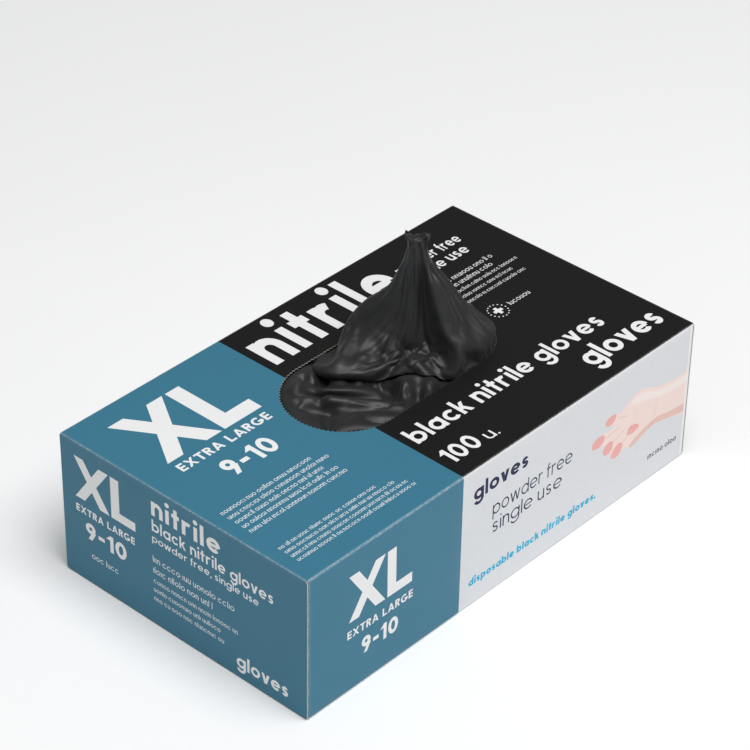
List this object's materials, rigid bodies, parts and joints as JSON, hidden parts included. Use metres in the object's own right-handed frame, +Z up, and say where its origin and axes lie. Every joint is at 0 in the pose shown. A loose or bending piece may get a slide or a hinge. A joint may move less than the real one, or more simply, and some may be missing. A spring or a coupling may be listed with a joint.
{
  "type": "glove dispenser box",
  "caption": "Folded paperboard dispenser carton of flat single-use gloves, with a stadium opening in its top, a glove drawn up through it, and hinged end flaps.",
  "frame": {"origin": "centre of the base, on the surface that the carton stands on", "axes": "+X along the carton's length, +Y towards the rear wall, +Z up through the opening"},
  "size_m": [0.24, 0.138, 0.126],
  "materials": {
    "printed_board_top": "satin print varnish, black with a blue band",
    "printed_board_front": "satin print varnish, white with a blue band",
    "printed_board_rear": "satin print varnish, white with a blue band",
    "printed_board_plain": "satin print varnish",
    "printed_board_left": "satin print varnish, blue",
    "printed_board_right": "satin print varnish, black",
    "grey_board": "uncoated recycled board",
    "hot_melt": "translucent hot-melt glue",
    "nitrile_black": "matte nitrile film"
  },
  "bodies": {
    "carton": {"top_panel": "printed_board_top", "front_wall": "printed_board_front", "bottom_panel": "printed_board_plain", "rear_wall": "printed_board_rear", "seam_flap": "grey_board", "seam_glue": "hot_melt", "next_glove": "nitrile_black", "glove_layer_01": "nitrile_black", "glove_layer_02": "nitrile_black", "glove_layer_03": "nitrile_black", "glove_layer_04": "nitrile_black", "glove_layer_05": "nitrile_black", "glove_layer_06": "nitrile_black", "glove_layer_07": "nitrile_black", "glove_layer_08": "nitrile_black", "glove_layer_09": "nitrile_black", "glove_layer_10": "nitrile_black"},
    "left_outer_flap": {"left_outer_flap": "printed_board_left"},
    "left_inner_flap": {"left_inner_flap": "grey_board", "left_end_glue": "hot_melt"},
    "left_front_dust_flap": {"left_front_dust_flap": "grey_board"},
    "left_rear_dust_flap": {"left_rear_dust_flap": "grey_board"},
    "right_outer_flap": {"right_outer_flap": "printed_board_right"},
    "right_inner_flap": {"right_inner_flap": "grey_board", "right_end_glue": "hot_melt"},
    "right_front_dust_flap": {"right_front_dust_flap": "grey_board"},
    "right_rear_dust_flap": {"right_rear_dust_flap": "grey_board"},
    "drawn_glove": {"drawn_glove": "nitrile_black"}
  },
  "joints": [
    {"name": "drawn_glove_pull", "type": "slide", "parent": "carton", "child": "drawn_glove", "axis": [0, 0, 1], "range_m": [0, 0.12]},
    {"name": "left_outer_flap_fold", "type": "hinge", "parent": "carton", "child": "left_outer_flap", "pos_m": [-0.11975, 0, 0.06975], "axis": [0, 1, 0], "range_deg": [0, 180]},
    {"name": "left_inner_flap_fold", "type": "hinge", "parent": "carton", "child": "left_inner_flap", "pos_m": [-0.1191, 0, 0.00025], "axis": [0, -1, 0], "range_deg": [0, 90]},
    {"name": "left_front_dust_flap_fold", "type": "hinge", "parent": "carton", "child": "left_front_dust_flap", "pos_m": [-0.11845, -0.06875, 0.035], "axis": [0, 0, 1], "range_deg": [0, 90]},
    {"name": "left_rear_dust_flap_fold", "type": "hinge", "parent": "carton", "child": "left_rear_dust_flap", "pos_m": [-0.11845, 0.06875, 0.035], "axis": [0, 0, -1], "range_deg": [0, 90]},
    {"name": "right_outer_flap_fold", "type": "hinge", "parent": "carton", "child": "right_outer_flap", "pos_m": [0.11975, 0, 0.06975], "axis": [0, -1, 0], "range_deg": [0, 180]},
    {"name": "right_inner_flap_fold", "type": "hinge", "parent": "carton", "child": "right_inner_flap", "pos_m": [0.1191, 0, 0.00025], "axis": [0, 1, 0], "range_deg": [0, 90]},
    {"name": "right_front_dust_flap_fold", "type": "hinge", "parent": "carton", "child": "right_front_dust_flap", "pos_m": [0.11845, -0.06875, 0.035], "axis": [0, 0, -1], "range_deg": [0, 90]},
    {"name": "right_rear_dust_flap_fold", "type": "hinge", "parent": "carton", "child": "right_rear_dust_flap", "pos_m": [0.11845, 0.06875, 0.035], "axis": [0, 0, 1], "range_deg": [0, 90]}
  ],
  "couplings": [
    {"joint": "left_inner_flap_fold", "follows": "left_outer_flap_fold", "ratio": 0.5},
    {"joint": "left_front_dust_flap_fold", "follows": "left_outer_flap_fold", "ratio": 0.5},
    {"joint": "left_rear_dust_flap_fold", "follows": "left_outer_flap_fold", "ratio": 0.5},
    {"joint": "right_inner_flap_fold", "follows": "right_outer_flap_fold", "ratio": 0.5},
    {"joint": "right_front_dust_flap_fold", "follows": "right_outer_flap_fold", "ratio": 0.5},
    {"joint": "right_rear_dust_flap_fold", "follows": "right_outer_flap_fold", "ratio": 0.5}
  ]
}
